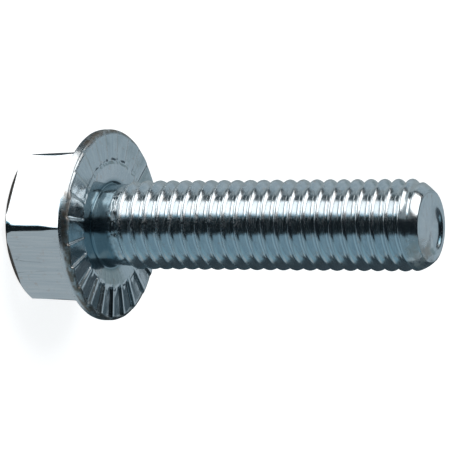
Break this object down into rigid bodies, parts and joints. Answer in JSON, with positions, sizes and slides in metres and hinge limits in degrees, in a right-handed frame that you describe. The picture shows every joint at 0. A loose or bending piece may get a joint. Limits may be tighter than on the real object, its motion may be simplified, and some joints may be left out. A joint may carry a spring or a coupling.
{
  "type": "flange bolt",
  "caption": "Zinc-plated steel hexagon flange bolt with a serrated bearing face, short plain neck and right-hand rolled thread to the tip.",
  "frame": {"origin": "centre of the flat top of the hexagon head, on the bolt's axis, at the lowest point of the bolt as it stands on its head", "axes": "+Z along the bolt's axis from the head to the threaded tip, +X through one corner of the hexagon"},
  "size_m": [0.0168, 0.0168, 0.0375],
  "materials": {
    "zinc_plated_steel": "bright zinc plating with a faint blue tint over forged and rolled steel, with fine draw streaks, small scratches and a brownish cast on part of the flange rim"
  },
  "bodies": {
    "root": {"flange_bolt": "zinc_plated_steel"}
  },
  "joints": []
}
